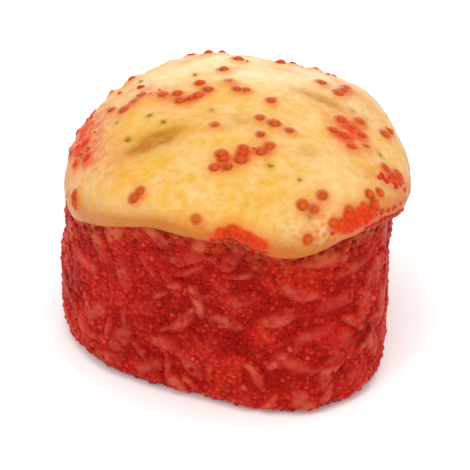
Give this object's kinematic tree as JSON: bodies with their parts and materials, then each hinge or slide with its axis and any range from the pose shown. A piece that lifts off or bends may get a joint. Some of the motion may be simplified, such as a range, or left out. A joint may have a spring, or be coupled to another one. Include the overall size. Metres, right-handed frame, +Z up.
{
  "type": "baked sushi roll piece",
  "caption": "Upright piece of baked sushi roll: a drum of rice coated in red fish roe, under a domed golden cap of baked cheese sauce with larger roe scattered on it.",
  "frame": {"origin": "middle of the part's box, on the floor that the piece stands on", "axes": "+Z up, from the cut face that it stands on to the crown; -Y is the front that the picture shows; +X is to the picture's right"},
  "size_m": [0.0428, 0.0404, 0.0335],
  "materials": {
    "roe_coat": "moist beads of fish roe over rice",
    "baked_sauce": "baked, softly glossy"
  },
  "bodies": {
    "root": {"rice_in_roe": "roe_coat", "baked_cap": "baked_sauce"}
  },
  "joints": []
}
